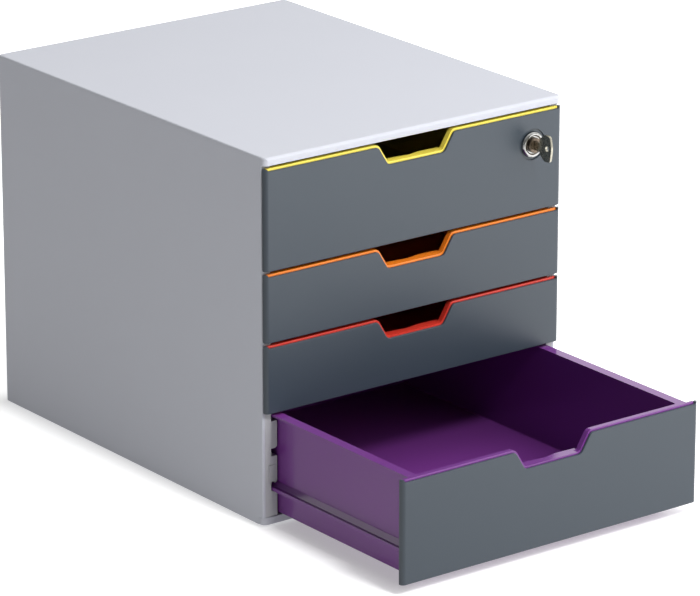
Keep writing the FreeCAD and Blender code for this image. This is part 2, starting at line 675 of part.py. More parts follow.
def tray(index):
    """One coloured drawer tray, in its place with the drawer closed."""
    top = rim_top(index)
    low = cover_low(index) + TRAY_LIFT
    shape = tray_shell(top, low)
    side = runner(index)
    flange_low = cover_low(index) + COVER_LOW_EDGE + SEAT_GAP
    flange = block(-HALF + COVER_SIDE + SEAT_GAP, HALF - COVER_SIDE - SEAT_GAP,
                   FLANGE_FRONT, TRAY_FRONT, flange_low, top)
    flange = flange.makeFillet(COVER_CORNER_R / 2, edges_where(
        flange, lambda m, run: upright(run) and near(m.y, FLANGE_FRONT)))
    flange = flange.makeFillet(RIM_EDGE_R, edges_where(
        flange, lambda m, run: near(m.z, top) and m.y < TRAY_FRONT - SEAT_GAP))
    shape = shape.fuse([side, mirrored(side), flange])
    shape = shape.cut(notch_cutter(top, TRAY_NOTCH_INSET, TRAY_NOTCH_TOP_R, TRAY_NOTCH_LOW_R,
                                   NOTCH_TOP_HALF + 2 * TRAY_NOTCH_TOP_R, 0))
    shape = shape.fuse(finger_lip(top))
    half = LOCK_X - HOUSING_R - BEZEL_ROUND - FRONT_POCKET_WEB
    pitch = 2 * half / FRONT_POCKET_COUNT
    cuts = []
    for i in range(FRONT_POCKET_COUNT):
        x = -half + i * pitch
        cuts.append(block(x, x + pitch - FRONT_POCKET_WEB,
                          FLANGE_FRONT - OVERRUN, FLANGE_FRONT + FRONT_POCKET_DEPTH,
                          flange_low + FRONT_POCKET_WEB, top - NOTCH_DROP - FINGER_LIP_THICK * 2))
    if index == 0:
        cuts.append(housing_bar(HOUSING_R + SEAT_GAP, HOUSING_FLAT + SEAT_GAP,
                                FRONT - OVERRUN, TRAY_INNER_FRONT + OVERRUN))
        cuts.append(cam_window(TRAY_INNER_HALF - OVERRUN, TRAY_HALF + SLIDE_GAP))
    return shape.cut(cuts).removeSplitter()


def front_cover(index):
    """One slate front: a shallow tray over the coloured flange. Its two ends reach the rim's height."""
    top = rim_top(index)
    low = cover_low(index)
    edge = top - STRIPE
    end = HALF - COVER_SIDE
    notch = notch_cutter(edge, 0, COVER_NOTCH_TOP_R, COVER_NOTCH_LOW_R, end, STRIPE_END_R)
    cover = front_block(low, edge).cut(notch)
    cover = cover.makeFillet(COVER_EDGE_R, edges_where(
        cover, lambda m, run: near(m.y, FRONT) and near(run.y, 0) and not upright(run)))
    middle = block(STRIPE_END_R - end, end - STRIPE_END_R, FRONT - OVERRUN, BACK, low, top + OVERRUN)
    cover = cover.fuse(front_block(edge - COVER_EDGE_R, top).cut([notch, middle]))
    inside = block(-HALF + COVER_SIDE, HALF - COVER_SIDE, FRONT + COVER_FACE,
                   FRONT + COVER_DEPTH + OVERRUN, low + COVER_LOW_EDGE, top + OVERRUN)
    inside = inside.makeFillet(COVER_CORNER_R / 2, edges_where(
        inside, lambda m, run: upright(run) and near(m.y, FRONT + COVER_FACE)))
    cover = cover.cut(inside)
    if index == 0:
        cover = cover.cut([housing_bar(HOUSING_R + SEAT_GAP, HOUSING_FLAT + SEAT_GAP,
                                       FRONT - OVERRUN, FRONT + COVER_DEPTH),
                           rod(LOCK_DISH_R, FRONT - OVERRUN, FRONT + LOCK_DISH_DEPTH, LOCK_X, LOCK_Z)])
    return cover


# Lock

def housing_bar(radius, flat, y0, y1):
    """A round bar with two flats, the outline of the lock's housing and of its hole."""
    bar = rod(radius, y0, y1, LOCK_X, LOCK_Z)
    trim = block(LOCK_X - radius - OVERRUN, LOCK_X + radius + OVERRUN, y0 - OVERRUN, y1 + OVERRUN,
                 LOCK_Z - flat, LOCK_Z + flat)
    return bar.common(trim)


def lock_housing():
    """The fixed part of the lock: a dished bezel on a flatted barrel with grooves for the clip."""
    seat = FRONT + LOCK_DISH_DEPTH
    face = FRONT - BEZEL_PROUD
    barrel = housing_bar(HOUSING_R, HOUSING_FLAT, seat - BEZEL_ROUND, HOUSING_BACK)
    bezel = rod(BEZEL_R, face, seat - SEAT_GAP / 2, LOCK_X, LOCK_Z)
    bezel = bezel.makeFillet(BEZEL_ROUND, [e for e in bezel.Edges if near(e.BoundBox.YMax, face)])
    dish = Part.makeCone(BEZEL_FACE_R, PLUG_R + BEZEL_DISH, BEZEL_DISH, vec(LOCK_X, face, LOCK_Z), vec(0, 1, 0))
    housing = barrel.fuse(bezel).cut(dish)
    housing = housing.cut(rod(PLUG_R + TURN_GAP, face - OVERRUN, HOUSING_BACK + OVERRUN, LOCK_X, LOCK_Z))
    groove = TRAY_INNER_FRONT
    cuts = []
    for side in (-1, 1):
        z = LOCK_Z + side * (HOUSING_FLAT + OVERRUN - CLIP_BITE)
        cuts.append(block(LOCK_X - HOUSING_R - OVERRUN, LOCK_X + HOUSING_R + OVERRUN,
                          groove, groove + CLIP_THICK + 2 * SEAT_GAP, z - OVERRUN, z + OVERRUN))
    return housing.cut(cuts).removeSplitter()


def lock_clip():
    """A flat spring fork that slides into the housing's grooves behind the tray's front."""
    y = TRAY_INNER_FRONT + SEAT_GAP
    inner = HOUSING_FLAT - CLIP_BITE + SEAT_GAP
    outer = inner + CLIP_ARM
    left = LOCK_X - HOUSING_R - CLIP_HEAD
    right = LOCK_X + HOUSING_R / 2
    points = [vec(left, y, LOCK_Z - outer), vec(right, y, LOCK_Z - outer), vec(right, y, LOCK_Z - inner),
              vec(left + CLIP_HEAD - SEAT_GAP, y, LOCK_Z - inner),
              vec(left + CLIP_HEAD - SEAT_GAP, y, LOCK_Z + inner),
              vec(right, y, LOCK_Z + inner), vec(right, y, LOCK_Z + outer), vec(left, y, LOCK_Z + outer)]
    tip = CLIP_ARM / 3
    radii = (CLIP_ARM, tip, tip, CLIP_ARM / 2, CLIP_ARM / 2, tip, tip, CLIP_ARM)
    return prism(points, radii, vec(0, CLIP_THICK, 0))


def wafer_places():
    return [PLUG_FACE + WAFER_FIRST + i * WAFER_PITCH for i in range(WAFER_COUNT)]


def lock_plug():
    """The part that turns: a cylinder with the keyway, the wafers' slots and a square tail."""
    plug = rod(PLUG_R, PLUG_FACE, HOUSING_BACK, LOCK_X, LOCK_Z)
    plug = plug.makeFillet(PLUG_EDGE_R, [e for e in plug.Edges if near(e.BoundBox.YMax, PLUG_FACE)])
    half = TAIL_SIDE / 2
    tail = block(LOCK_X - half, LOCK_X + half, HOUSING_BACK, CAM_BACK, LOCK_Z - half, LOCK_Z + half)
    plug = plug.fuse(tail)
    cuts = [block(LOCK_X - KEYWAY_WIDTH / 2, LOCK_X + KEYWAY_WIDTH / 2, PLUG_FACE - OVERRUN,
                  PLUG_FACE + BLADE_REACH + SEAT_GAP * 2,
                  LOCK_Z - BLADE_HEIGHT / 2 - BLADE_GAP, LOCK_Z + BLADE_HEIGHT / 2 + BLADE_GAP)]
    for y in wafer_places():
        cuts.append(block(LOCK_X - WAFER_WIDTH / 2 - SEAT_GAP, LOCK_X + WAFER_WIDTH / 2 + SEAT_GAP,
                          y - SEAT_GAP, y + WAFER_THICK + SEAT_GAP,
                          LOCK_Z - WAFER_HEIGHT / 2 - SEAT_GAP, LOCK_Z + WAFER_HEIGHT / 2 + SEAT_GAP))
    cuts.append(rod(CAM_SCREW_R + SCREW_BITE_GAP, CAM_BACK - CAM_SCREW_LENGTH, CAM_BACK + OVERRUN,
                    LOCK_X, LOCK_Z))
    return plug.cut(cuts).removeSplitter()


def lock_wafers():
    """The brass wafers that the key lines up."""
    wafers = []
    for y in wafer_places():
        wafer = block(LOCK_X - WAFER_WIDTH / 2, LOCK_X + WAFER_WIDTH / 2, y, y + WAFER_THICK,
                      LOCK_Z - WAFER_HEIGHT / 2, LOCK_Z + WAFER_HEIGHT / 2)
        window = block(LOCK_X - KEYWAY_WIDTH / 2, LOCK_X + KEYWAY_WIDTH / 2, y - OVERRUN, y + OVERRUN,
                       LOCK_Z - BLADE_HEIGHT / 2 - BLADE_GAP, LOCK_Z + BLADE_HEIGHT / 2 + BLADE_GAP)
        wafers.append(wafer.cut(window))
    return Part.makeCompound(wafers)


def lock_cam():
    """A flat arm on the plug's tail, pointing down while the drawer is unlocked."""
    half = CAM_WIDTH / 2
    hub = rod(CAM_HUB_R, CAM_FRONT, CAM_BACK, LOCK_X, LOCK_Z)
    arm = prism([vec(LOCK_X - half, CAM_FRONT, LOCK_Z), vec(LOCK_X + half, CAM_FRONT, LOCK_Z),
                 vec(LOCK_X + half, CAM_FRONT, LOCK_Z - CAM_REACH),
                 vec(LOCK_X - half, CAM_FRONT, LOCK_Z - CAM_REACH)],
                (0, 0, half / 2, half / 2), vec(0, CAM_THICK, 0))
    side = TAIL_SIDE / 2 + SEAT_GAP / 2
    hole = block(LOCK_X - side, LOCK_X + side, CAM_FRONT - OVERRUN, CAM_BACK + OVERRUN,
                 LOCK_Z - side, LOCK_Z + side)
    return hub.fuse(arm).cut(hole).removeSplitter()


def cam_screw():
    """The screw that clamps the cam on the plug's tail."""
    start = CAM_BACK + SEAT_GAP / 2
    head = rod(CAM_SCREW_HEAD_R, start, start + CAM_SCREW_HEAD, LOCK_X, LOCK_Z)
    rim = [e for e in head.Edges if near(e.BoundBox.YMin, start + CAM_SCREW_HEAD)]
    head = head.makeFillet(CAM_SCREW_HEAD / 2, rim)
    shank = rod(CAM_SCREW_R, start - CAM_SCREW_LENGTH + 2 * SEAT_GAP, start + CAM_SCREW_HEAD / 2,
                LOCK_X, LOCK_Z)
    screw = head.fuse(shank)
    for turn in (0, 1):
        slot = block(-CAM_SCREW_HEAD_R / 2, CAM_SCREW_HEAD_R / 2, CAM_SCREW_HEAD / 2,
                     CAM_SCREW_HEAD + OVERRUN, -SCREW_SLOT / 2, SCREW_SLOT / 2)
        slot.rotate(vec(0, 0, 0), vec(0, 1, 0), turn * 90)
        slot.translate(vec(LOCK_X, start, LOCK_Z))
        screw = screw.cut(slot)
    return screw.removeSplitter()


def key():
    """The key in the plug: a bitted blade, a neck and a rounded bow with a ring hole."""
    x = LOCK_X - KEY_THICK / 2
    thick = vec(KEY_THICK, 0, 0)
    low = LOCK_Z - BLADE_HEIGHT / 2
    high = LOCK_Z + BLADE_HEIGHT / 2
    bow_back = FRONT - BOW_STAND
    bow_front = bow_back - BOW_LENGTH
    tip = PLUG_FACE + BLADE_REACH
    root = bow_back - BOW_LENGTH / 2 + BOW_HOLE_R
    points = [vec(x, root, high), vec(x, tip - BLADE_HEIGHT / 3, high),
              vec(x, tip, LOCK_Z), vec(x, tip - BLADE_HEIGHT / 3, low), vec(x, root, low)]
    blade = prism(points, (0, 0, 0, 0, 0), thick)
    cuts = []
    for y, share in zip(wafer_places(), BITTING_SHARES):
        depth = share * BLADE_HEIGHT
        side = [vec(x, y - depth, low - SEAT_GAP), vec(x, y, low + depth),
                vec(x, y + WAFER_THICK, low + depth), vec(x, y + WAFER_THICK + depth, low - SEAT_GAP)]
        cuts.append(prism(side, (0, 0, 0, 0), thick))
    blade = blade.cut(cuts)
    middle = LOCK_Z + BOW_RISE
    half = BOW_HEIGHT / 2
    upper = [vec(x, bow_back - out * BOW_LENGTH, middle + up * half) for out, up in BOW_SHARES]
    lower = [vec(x, point.y, 2 * middle - point.z) for point in upper[-2::-1]]
    bow = prism(upper + lower, BOW_RADII + BOW_RADII[-2::-1], thick)
    bow = bow.makeFillet(BOW_EDGE_R, [e for e in bow.Edges if near(e.BoundBox.XLength, 0)])
    shape = bow.fuse(blade)
    hole = Part.makeCylinder(BOW_HOLE_R, KEY_THICK + 2 * OVERRUN,
                             vec(x - OVERRUN, bow_front + BOW_HOLE_INSET, middle), vec(1, 0, 0))
    return shape.cut(hole).removeSplitter()


def moved_open(shape, index):
    """A closed drawer's piece, moved to where its drawer stands."""
    placed = shape.copy()
    placed.translate(vec(0, -DRAWER_OPENINGS[index], 0))
    return placed


def nodes():
    """Every sub-part with its name, in the order in which the box is put together."""
    yield "casing_shell", casing_shell()
    yield "rear_panel", rear_panel()
    yield "base_plate", base_plate()
    yield "guide_left", guide_left()
    yield "guide_right", guide_right()
    yield "rubber_feet", rubber_feet()
    yield "base_screws", base_screws()
    yield "drawer_catches", drawer_catches()
    yield "lock_strike", lock_strike()
    for index in range(len(DRAWER_SHARES)):
        yield "tray_%d" % (index + 1), moved_open(tray(index), index)
        yield "front_cover_%d" % (index + 1), moved_open(front_cover(index), index)
    lock = (("lock_housing", lock_housing), ("lock_clip", lock_clip), ("lock_plug", lock_plug),
            ("lock_wafers", lock_wafers), ("lock_cam", lock_cam), ("cam_screw", cam_screw), ("key", key))
    for name, make in lock:
        yield name, moved_open(make(), 0)


def main():
    os.makedirs("parts", exist_ok=True)
    for name, shape in nodes():
        shape.exportStep("parts/%s.step" % name)
        box = shape.BoundBox
        print("%-16s solids %d valid %s volume %.0f  x %.1f %.1f  y %.1f %.1f  z %.1f %.1f" % (
            name, len(shape.Solids), shape.isValid(), shape.Volume,
            box.XMin, box.XMax, box.YMin, box.YMax, box.ZMin, box.ZMax))


main()
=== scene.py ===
"""Dresses the desktop file drawer: moulded plastic casing, slate fronts, coloured trays and the lock.

Metres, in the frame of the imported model. The bottom drawer stands part open at rest.
"""

from __future__ import annotations

import logging
import math
from dataclasses import dataclass, field
from enum import Enum
from typing import Any

import bpy
from mathutils import Euler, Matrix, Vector


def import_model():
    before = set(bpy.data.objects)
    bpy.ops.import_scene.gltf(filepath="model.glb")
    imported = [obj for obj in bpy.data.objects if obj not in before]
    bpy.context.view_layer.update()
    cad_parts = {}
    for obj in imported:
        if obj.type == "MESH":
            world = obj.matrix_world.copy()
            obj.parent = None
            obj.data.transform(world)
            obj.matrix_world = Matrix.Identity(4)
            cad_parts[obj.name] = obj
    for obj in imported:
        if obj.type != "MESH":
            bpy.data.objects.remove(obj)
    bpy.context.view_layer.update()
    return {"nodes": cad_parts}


LOG = logging.getLogger("file_drawer")
MM = 0.001

Triple = tuple[float, float, float]
Span = tuple[float, float]
WHITE: Triple = (1.0, 1.0, 1.0)
UNSTRETCHED: Triple = (1.0, 1.0, 1.0)
NOISE_MEAN = 0.5


def from_srgb(red: int, green: int, blue: int) -> Triple:
    """Turns a colour of 0 to 255 as seen on a screen into linear values.

    Args:
        red: The red value.
        green: The green value.
        blue: The blue value.

    Returns:
        The linear colour.
    """
    shares = (value / 255 for value in (red, green, blue))
    return tuple(s / 12.92 if s <= 0.04045 else ((s + 0.055) / 1.055) ** 2.4 for s in shares)


class Value:
    """A shader socket that takes part in sums and products as a number does."""

    def __init__(self, bench: Bench, socket: bpy.types.NodeSocket) -> None:
        """Wraps an output socket of a bench's tree."""
        self.bench = bench
        self.socket = socket

    def __add__(self, other: Value | float) -> Value:
        """Adds a value."""
        return self.bench.maths("ADD", self, other)

    def __radd__(self, other: float) -> Value:
        """Adds to a number."""
        return self.bench.maths("ADD", other, self)

    def __sub__(self, other: Value | float) -> Value:
        """Takes a value away."""
        return self.bench.maths("SUBTRACT", self, other)

    def __rsub__(self, other: float) -> Value:
        """Takes this value away from a number."""
        return self.bench.maths("SUBTRACT", other, self)

    def __mul__(self, other: Value | float) -> Value:
        """Multiplies by a value."""
        return self.bench.maths("MULTIPLY", self, other)

    def __rmul__(self, other: float) -> Value:
        """Multiplies a number."""
        return self.bench.maths("MULTIPLY", other, self)

    def size(self) -> Value:
        """Drops the value's sign."""
        return self.bench.maths("ABSOLUTE", self)

    def or_more(self, other: Value | float) -> Value:
        """Gives the larger of this value and another."""
        return self.bench.maths("MAXIMUM", self, other)

    def clamped(self) -> Value:
        """Holds the value between 0 and 1."""
        return self.bench.maths("ADD", self, 0.0, clamp=True)

    def step(self, rise: Span) -> Value:
        """Rises smoothly from 0 to 1.

        Args:
            rise: The values where the rise starts and ends.

        Returns:
            The smooth step.
        """
        return self.bench.reading(
            "MapRange", "Result", {"interpolation_type": "SMOOTHSTEP"},
            {"Value": self, "From Min": rise[0], "From Max": rise[1]})


class Bench:
    """A node tree that is being filled in."""

    def __init__(self, tree: bpy.types.NodeTree) -> None:
        """Empties a tree and keeps it."""
        self.tree = tree
        self.tree.nodes.clear()

    def node(self, kind: str, settings: dict[str, Any] | None = None,
             inputs: dict[str | int, Any] | None = None) -> bpy.types.Node:
        """Adds any node.

        Args:
            kind: The node's type without its ShaderNode prefix.
            settings: The node's own settings, set first.
            inputs: What its sockets get, by name or number.

        Returns:
            The node.
        """
        node = self.tree.nodes.new("ShaderNode" + kind)
        for key, value in (settings or {}).items():
            setattr(node, key, value)
        for key, value in (inputs or {}).items():
            self.feed(node.inputs[key], value)
        return node

    def feed(self, socket: bpy.types.NodeSocket, value: Any) -> None:
        """Sets or links one socket.

        Args:
            socket: The input.
            value: A number, a vector, a colour, a Value or an output socket.
        """
        if isinstance(value, Value):
            value = value.socket
        if isinstance(value, bpy.types.NodeSocket):
            self.tree.links.new(value, socket)
        elif isinstance(value, tuple) and socket.type == "RGBA":
            socket.default_value = (*value, 1.0)
        else:
            socket.default_value = value

    def reading(self, kind: str, output: str | int, settings: dict[str, Any] | None = None,
                inputs: dict[str | int, Any] | None = None) -> Value:
        """Adds a node and gives one of its outputs.

        Args:
            kind: The node's type without its ShaderNode prefix.
            output: The output's name or number.
            settings: The node's own settings.
            inputs: What its sockets get, by name or number.

        Returns:
            The output as a Value.
        """
        return Value(self, self.node(kind, settings, inputs).outputs[output])

    def maths(self, operation: str, *terms: Value | float, clamp: bool = False) -> Value:
        """Adds a Math node.

        Args:
            operation: The node's operation.
            terms: The values that it works on, in order.
            clamp: Whether the result is held between 0 and 1.

        Returns:
            The node's result.
        """
        settings = {"operation": operation, "use_clamp": clamp}
        return self.reading("Math", 0, settings, dict(enumerate(terms)))

    def ray(self, kind: str) -> Value:
        """Gives 1 for rays of a kind and 0 for all others."""
        return self.reading("LightPath", f"Is {kind} Ray")


@dataclass(frozen=True)
class Pattern:
    """A noise pattern: the width of its features in metres, its finer layers and its stretch."""

    width: float
    layers: float = 2.0
    layer_weight: float = 0.5
    stretch: Triple = UNSTRETCHED


class Recipe(Bench):
    """A material's node tree, with its shader ready to be filled in."""

    def __init__(self, name: str) -> None:
        """Starts an empty material with a Principled shader.

        Args:
            name: The material's name.
        """
        self.material = bpy.data.materials.new(name)
        self.material.use_nodes = True
        super().__init__(self.material.node_tree)
        self.shader = self.node("BsdfPrincipled")
        self.output = self.node("OutputMaterial", inputs={"Surface": self.shader.outputs["BSDF"]})

    def place(self, stretch: Triple = UNSTRETCHED) -> bpy.types.NodeSocket:
        """Gives the point on the object in metres.

        Args:
            stretch: How much each axis is stretched.

        Returns:
            The vector output.
        """
        where = self.node("TexCoord").outputs["Object"]
        if stretch == UNSTRETCHED:
            return where
        return self.node("Mapping", inputs={"Vector": where, "Scale": stretch}).outputs["Vector"]

    def noise(self, pattern: Pattern) -> Value:
        """Adds a noise pattern.

        Args:
            pattern: Its width, layers and stretch.

        Returns:
            The pattern, from 0 to 1.
        """
        return self.reading("TexNoise", "Fac", inputs={
            "Vector": self.place(pattern.stretch), "Scale": 1 / pattern.width,
            "Detail": pattern.layers, "Roughness": pattern.layer_weight})

    def blend(self, factor: Value, first: Triple, second: Triple) -> bpy.types.NodeSocket:
        """Mixes two colours.

        Args:
            factor: How much of the second shows.
            first: The colour at 0.
            second: The colour at 1.

        Returns:
            The mixed colour's output.
        """
        mix = self.node("Mix", {"data_type": "RGBA"}, {0: factor})
        colours = (socket for socket in mix.inputs if socket.type == "RGBA")
        for socket, colour in zip(colours, (first, second)):
            self.feed(socket, colour)
        return next(socket for socket in mix.outputs if socket.type == "RGBA")

    def bump(self, height: Value, depth: float, strength: float = 1.0,
             below: bpy.types.NodeSocket | None = None) -> bpy.types.NodeSocket:
        """Turns a pattern into relief.

        Args:
            height: The pattern, from 0 to 1.
            depth: The depth of the full pattern, in metres.
            strength: How strongly it shows.
            below: The normal of a coarser relief that it lies on.

        Returns:
            The normal output.
        """
        inputs = {"Height": height, "Distance": depth, "Strength": strength}
        if below is not None:
            inputs["Normal"] = below
        return self.node("Bump", inputs=inputs).outputs["Normal"]

    def set(self, **values: Any) -> None:
        """Fills in the shader's inputs, an underscore standing for a space."""
        for key, value in values.items():
            self.feed(self.shader.inputs[key.replace("_", " ")], value)


@dataclass(frozen=True)
class MouldedPlastic:
    """Through-coloured moulded plastic with a fine spark-eroded grain."""

    name: str
    colour: Triple
    roughness: float
    grain_depth: float = 0.012 * MM
    specular: float = 0.5
    grain: Pattern = Pattern(0.35 * MM, 3.0, 0.6)
    flow: Pattern = Pattern(60 * MM, 3.0)
    flow_depth: float = 0.05 * MM
    flow_relief: float = 0.6
    flow_tone: float = 0.04
    flow_gloss: float = 0.08
    speckle: Pattern = Pattern(1.6 * MM)
    speckle_tone: float = 0.024
    speckle_gloss: float = 0.06
    contrast: float = 0.18

    def make(self) -> bpy.types.Material:
        """Builds the material: grain, a faint flow pattern and uneven gloss.

        Returns:
            The material.
        """
        recipe = Recipe(self.name)
        flow = recipe.noise(self.flow)
        streaks = flow - NOISE_MEAN
        specks = recipe.noise(self.speckle) - NOISE_MEAN
        shade = streaks * self.flow_tone + specks * self.speckle_tone + NOISE_MEAN
        dark = tuple(c * (1 - self.contrast) for c in self.colour)
        light = tuple(min(c * (1 + self.contrast), 1.0) for c in self.colour)
        coarse = recipe.bump(flow, self.flow_depth, self.flow_relief)
        recipe.set(
            Base_Color=recipe.blend(shade.clamped(), dark, light),
            Roughness=self.roughness + streaks * self.flow_gloss + specks * self.speckle_gloss,
            Normal=recipe.bump(recipe.noise(self.grain), self.grain_depth, below=coarse),
            Specular_IOR_Level=self.specular)
        return recipe.material


@dataclass(frozen=True)
class PlatedMetal:
    """Bright plated metal with faint polishing marks and darker cloudy patches: dirt, and on the lock's
    chrome painted dark reflections.
    """

    name: str
    colour: Triple
    roughness: float
    brushing: Triple = UNSTRETCHED
    dirt_and_dark_reflection_share: float = 0.72
    mark: float = 0.25 * MM
    mark_depth: float = 0.002 * MM
    mark_gloss: float = 0.08
    cloud: Pattern = Pattern(3.0 * MM, 3.0)
    cloud_rise: Span = (0.35, 0.75)
    cloud_share: float = 0.5
    cloud_gloss: float = 0.10

    def make(self) -> bpy.types.Material:
        """Builds the material: marks along one way, cloudy gloss and darker cloudy patches, which are a
        breath of dirt and, on the lock's chrome, painted dark reflections.

        Returns:
            The material.
        """
        recipe = Recipe(self.name)
        cloud = recipe.noise(self.cloud)
        marks = recipe.noise(Pattern(self.mark, stretch=self.brushing))
        # Darker colour in cloudy patches: dirt, and on the chrome, with its small share, painted dark
        # reflections.
        dirt_and_dark_reflection = tuple(c * self.dirt_and_dark_reflection_share for c in self.colour)
        recipe.set(
            Base_Color=recipe.blend(cloud.step(self.cloud_rise) * self.cloud_share, self.colour, dirt_and_dark_reflection),
            Metallic=1.0,
            Roughness=self.roughness + (cloud - NOISE_MEAN) * self.cloud_gloss
            + (marks - NOISE_MEAN) * self.mark_gloss,
            Normal=recipe.bump(marks, self.mark_depth))
        return recipe.material


@dataclass(frozen=True)
class FootRubber:
    """Black rubber with a dusty bloom."""

    name: str
    colour: Triple
    roughness: float = 0.75
    dust: Pattern = Pattern(2.5 * MM, 4.0)
    dust_rise: Span = (0.45, 0.8)
    dust_share: float = 0.6
    dust_gain: float = 2.2
    dust_lift: float = 0.01
    dust_gloss: float = 0.2
    pits: Pattern = Pattern(0.3 * MM)
    pit_depth: float = 0.03 * MM

    def make(self) -> bpy.types.Material:
        """Builds the material: pitted skin and pale dust in patches.

        Returns:
            The material.
        """
        recipe = Recipe(self.name)
        dust = recipe.noise(self.dust)
        pale = tuple(c * self.dust_gain + self.dust_lift for c in self.colour)
        recipe.set(
            Base_Color=recipe.blend(dust.step(self.dust_rise) * self.dust_share, self.colour, pale),
            Roughness=self.roughness + (dust - NOISE_MEAN) * self.dust_gloss,
            Normal=recipe.bump(recipe.noise(self.pits), self.pit_depth))
        return recipe.material


class Finish(Enum):
    """Every finish on the box."""

    CASING = MouldedPlastic("casing_plastic", from_srgb(180, 182, 190), 0.5, specular=0.36)
    GUIDE = MouldedPlastic("guide_plastic", from_srgb(172, 173, 175), 0.5)
    SLATE = MouldedPlastic("slate_plastic", from_srgb(48, 57, 66), 0.36, 0.003 * MM, 0.6)
    YELLOW = MouldedPlastic("yellow_plastic", from_srgb(226, 206, 80), 0.2, 0.004 * MM)
    ORANGE = MouldedPlastic("orange_plastic", from_srgb(222, 120, 32), 0.2, 0.004 * MM)
    RED = MouldedPlastic("red_plastic", from_srgb(190, 52, 40), 0.2, 0.004 * MM)
    PURPLE = MouldedPlastic("purple_plastic", from_srgb(106, 50, 125), 0.15, 0.003 * MM, 0.62)
    # The chrome's small share paints dark reflections into it as strongly darkened cloudy patches.
    CHROME = PlatedMetal("lock_chrome", from_srgb(186, 186, 184), 0.08, dirt_and_dark_reflection_share=0.1)
    PLUG = PlatedMetal("plug_chrome", from_srgb(116, 104, 92), 0.28, (1.0, 1.0, 6.0), 0.2)
    KEY = PlatedMetal("key_nickel", from_srgb(186, 182, 166), 0.26, (1.0, 1.0, 8.0))
    STEEL = PlatedMetal("zinc_steel", from_srgb(176, 178, 182), 0.32, (6.0, 1.0, 1.0))
    BRASS = PlatedMetal("wafer_brass", from_srgb(204, 168, 92), 0.3)
    RUBBER = FootRubber("foot_rubber", from_srgb(34, 34, 35))


class Paintbox:
    """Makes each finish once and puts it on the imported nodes."""

    def __init__(self, nodes: dict[str, bpy.types.Object]) -> None:
        """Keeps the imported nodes.

        Args:
            nodes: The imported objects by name.
        """
        self.nodes = nodes
        self.made: dict[Finish, bpy.types.Material] = {}

    def material(self, finish: Finish) -> bpy.types.Material:
        """Gives a finish's material, made at its first use.

        Args:
            finish: The finish.

        Returns:
            The material.
        """
        if finish not in self.made:
            self.made[finish] = finish.value.make()
        return self.made[finish]

    def dress(self, finish: Finish, *names: str) -> None:
        """Puts one finish on whole nodes.

        Args:
            finish: The finish.
            names: The nodes' names.
        """
        for name in names:
            slots = self.nodes[name].data.materials
            slots.clear()
            slots.append(self.material(finish))
            LOG.info("%s: %s", name, finish.name)


@dataclass
class Casing:
    """The fixed box with its guides, floor and fastenings."""

    shell: tuple[str, ...] = ("casing_shell", "rear_panel", "base_plate")
    guides: tuple[str, ...] = ("guide_left", "guide_right", "drawer_catches")
    metal: tuple[str, ...] = ("base_screws", "lock_strike")
    feet: str = "rubber_feet"

    def dress(self, paint: Paintbox) -> None:
        """Puts the finishes on the fixed nodes.

        Args:
            paint: The paintbox.
        """
        paint.dress(Finish.CASING, *self.shell)
        paint.dress(Finish.GUIDE, *self.guides)
        paint.dress(Finish.STEEL, *self.metal)
        paint.dress(Finish.RUBBER, self.feet)


@dataclass
class Drawer:
    """One drawer: a coloured tray behind a slate cover."""

    number: int
    colour: Finish

    def dress(self, paint: Paintbox) -> None:
        """Puts the finishes on the tray and its cover."""
        paint.dress(self.colour, f"tray_{self.number}")
        paint.dress(Finish.SLATE, f"front_cover_{self.number}")


@dataclass
class Lock:
    """The cam lock of the top drawer, with its key."""

    finishes: dict[str, Finish] = field(default_factory=lambda: {
        "lock_housing": Finish.CHROME, "lock_clip": Finish.STEEL, "lock_plug": Finish.PLUG,
        "lock_wafers": Finish.BRASS, "lock_cam": Finish.STEEL, "cam_screw": Finish.STEEL,
        "key": Finish.KEY})

    def dress(self, paint: Paintbox) -> None:
        """Puts the finishes on the lock's nodes."""
        for name, finish in self.finishes.items():
            paint.dress(finish, name)


@dataclass
class StudioFloor:
    """The pale floor, lit from beneath too, which fades to white away from the box.

    The glow is what the camera sees under the box, the fade what is added away from it, the bounce
    what lights the box and the shine what its gloss mirrors, more of it to the right.
    """

    width: float = 12.0
    box_half: Span = (0.14, 0.26)
    tone: float = 0.68
    roughness: float = 0.9
    glow: float = 0.34
    fade: float = 0.56
    fade_rise: Span = (-0.02, 0.03)
    bounce: float = 0.52
    shine: float = 0.9
    shine_rise: Span = (-0.3, 0.5)

    def light(self, recipe: Recipe) -> Value:
        """Works out the light that comes up through the floor.

        Args:
            recipe: The floor's recipe.

        Returns:
            Its strength, by the kind of ray that meets it.
        """
        split = recipe.node("SeparateXYZ", inputs={"Vector": recipe.place()})
        across, along = (Value(recipe, split.outputs[axis]) for axis in "XY")
        away = (across.size() - self.box_half[0]).or_more(along.size() - self.box_half[1])
        seen = (away.step(self.fade_rise) * self.fade + self.glow) * recipe.ray("Camera")
        mirrored = across.step(self.shine_rise) * self.shine * recipe.ray("Glossy")
        return seen + mirrored + recipe.ray("Diffuse") * self.bounce

    def build(self) -> None:
        """Adds the floor, which is no piece of the box."""
        bpy.ops.object.select_all(action="DESELECT")
        bpy.ops.mesh.primitive_plane_add(size=self.width, location=(0, 0, 0))
        floor = bpy.context.object
        floor.name = "studio_floor"
        recipe = Recipe("studio_floor")
        recipe.set(Base_Color=(self.tone,) * 3, Roughness=self.roughness, Specular_IOR_Level=0.0)
        lit = recipe.node("Emission", inputs={"Color": self.light(recipe)}).outputs["Emission"]
        both = recipe.node("AddShader", inputs={0: recipe.shader.outputs["BSDF"], 1: lit})
        recipe.feed(recipe.output.inputs["Surface"], both.outputs["Shader"])
        floor.data.materials.append(recipe.material)


